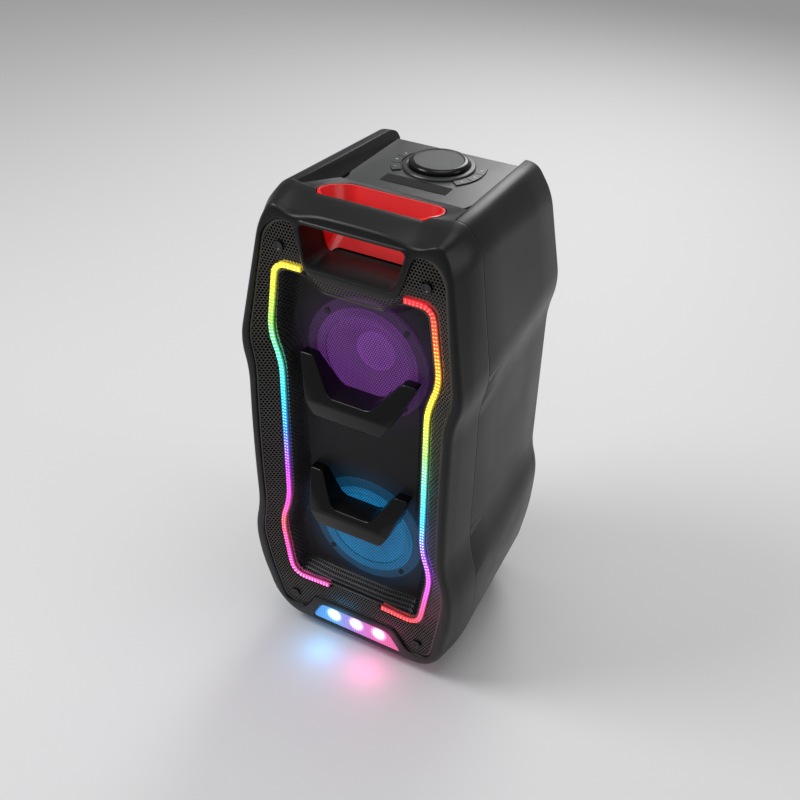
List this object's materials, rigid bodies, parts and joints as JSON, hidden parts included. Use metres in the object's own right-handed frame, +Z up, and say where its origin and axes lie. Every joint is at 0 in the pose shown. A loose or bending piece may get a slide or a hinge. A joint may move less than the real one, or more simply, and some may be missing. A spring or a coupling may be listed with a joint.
{
  "type": "party speaker",
  "caption": "Tall party speaker with woofers behind a formed grille, light strips down both sides, a red carry handle, a top control panel and a rear terminal panel.",
  "frame": {"origin": "centre of the footprint, on the surface the feet stand on", "axes": "+X to the right seen from the front, +Y to the back, +Z up; the front faces -Y"},
  "size_m": [0.3282, 0.306, 0.7097],
  "materials": {
    "shell": "fine spark texture",
    "panel": "satin",
    "handle_red": "satin",
    "grille": "semi-gloss",
    "guide": "frosted, lit",
    "trim_black": "gloss",
    "rubber": "matte",
    "cone": "pressed paper",
    "steel": "stamped",
    "bright_metal": "polished nickel",
    "aluminium": "anodised",
    "board": "solder mask",
    "wood": "pressed board",
    "battery": "shrink wrap",
    "display": "smoked",
    "lens": "ribbed, clear",
    "rocker_red": "gloss",
    "spider_cloth": "resin-dipped cloth"
  },
  "bodies": {
    "root": {"front_bezel": "shell", "rear_cabinet": "shell", "handle_liner": "handle_red", "control_panel": "panel", "outer_grille": "grille", "woofer_grille": "grille", "left_light_guide": "guide", "right_light_guide": "guide", "left_light_board": "board", "right_light_board": "board", "upper_jaw": "trim_black", "lower_jaw": "trim_black", "baffle": "wood", "upper_basket": "steel", "lower_basket": "steel", "upper_surround": "rubber", "lower_surround": "rubber", "upper_spider": "spider_cloth", "lower_spider": "spider_cloth", "upper_magnet": "steel", "lower_magnet": "steel", "basket_screws": "steel", "lamp_lens": "lens", "lamp_housing": "lens", "lamp_leds": "guide", "knob_ring": "panel", "encoder": "bright_metal", "display_window": "display", "display_module": "board", "control_board": "board", "key_switches": "bright_metal", "rear_panel": "shell", "power_inlet": "trim_black", "switch_frame": "trim_black", "microphone_jack": "bright_metal", "guitar_jack": "bright_metal", "usb_socket": "bright_metal", "aux_jack": "bright_metal", "amplifier_board": "board", "heat_sink": "aluminium", "power_supply": "board", "battery_pack": "battery", "bass_port": "shell", "feet": "rubber", "grille_screws": "steel", "cabinet_screws": "steel"},
    "volume_knob": {"volume_knob": "trim_black"},
    "power_rocker": {"power_rocker": "rocker_red"},
    "microphone_knob": {"microphone_knob": "shell"},
    "guitar_knob": {"guitar_knob": "shell"},
    "upper_cone": {"upper_cone": "cone", "upper_dust_cap": "cone"},
    "lower_cone": {"lower_cone": "cone", "lower_dust_cap": "cone"},
    "left_key_1": {"left_key_1": "panel"},
    "left_key_2": {"left_key_2": "panel"},
    "left_key_3": {"left_key_3": "panel"},
    "right_key_1": {"right_key_1": "panel"},
    "right_key_2": {"right_key_2": "panel"},
    "right_key_3": {"right_key_3": "panel"}
  },
  "joints": [
    {"name": "volume_turn", "type": "hinge", "parent": "root", "child": "volume_knob", "pos_m": [0, 0.085, 0.687], "axis": [0, 0, 1], "continuous": true},
    {"name": "left_key_1_press", "type": "slide", "parent": "root", "child": "left_key_1", "axis": [0, 0, -1], "range_m": [0, 0.0006], "stiffness_N_per_m": 800, "springref_m": -0.0004},
    {"name": "left_key_2_press", "type": "slide", "parent": "root", "child": "left_key_2", "axis": [0, 0, -1], "range_m": [0, 0.0006], "stiffness_N_per_m": 800, "springref_m": -0.0004},
    {"name": "left_key_3_press", "type": "slide", "parent": "root", "child": "left_key_3", "axis": [0, 0, -1], "range_m": [0, 0.0006], "stiffness_N_per_m": 800, "springref_m": -0.0004},
    {"name": "right_key_1_press", "type": "slide", "parent": "root", "child": "right_key_1", "axis": [0, 0, -1], "range_m": [0, 0.0006], "stiffness_N_per_m": 800, "springref_m": -0.0004},
    {"name": "right_key_2_press", "type": "slide", "parent": "root", "child": "right_key_2", "axis": [0, 0, -1], "range_m": [0, 0.0006], "stiffness_N_per_m": 800, "springref_m": -0.0004},
    {"name": "right_key_3_press", "type": "slide", "parent": "root", "child": "right_key_3", "axis": [0, 0, -1], "range_m": [0, 0.0006], "stiffness_N_per_m": 800, "springref_m": -0.0004},
    {"name": "power_rock", "type": "hinge", "parent": "root", "child": "power_rocker", "pos_m": [-0.062, 0.139, 0.542], "axis": [1, 0, 0], "range_deg": [-8, 8]},
    {"name": "microphone_level_turn", "type": "hinge", "parent": "root", "child": "microphone_knob", "pos_m": [0.035, 0.144, 0.575], "axis": [0, 1, 0], "range_deg": [-150, 150]},
    {"name": "guitar_level_turn", "type": "hinge", "parent": "root", "child": "guitar_knob", "pos_m": [0.07, 0.144, 0.575], "axis": [0, 1, 0], "range_deg": [-150, 150]},
    {"name": "upper_cone_throw", "type": "slide", "parent": "root", "child": "upper_cone", "axis": [0, -1, 0], "range_m": [-0.003, 0.003], "stiffness_N_per_m": 2500},
    {"name": "lower_cone_throw", "type": "slide", "parent": "root", "child": "lower_cone", "axis": [0, -1, 0], "range_m": [-0.003, 0.003], "stiffness_N_per_m": 2500}
  ]
}
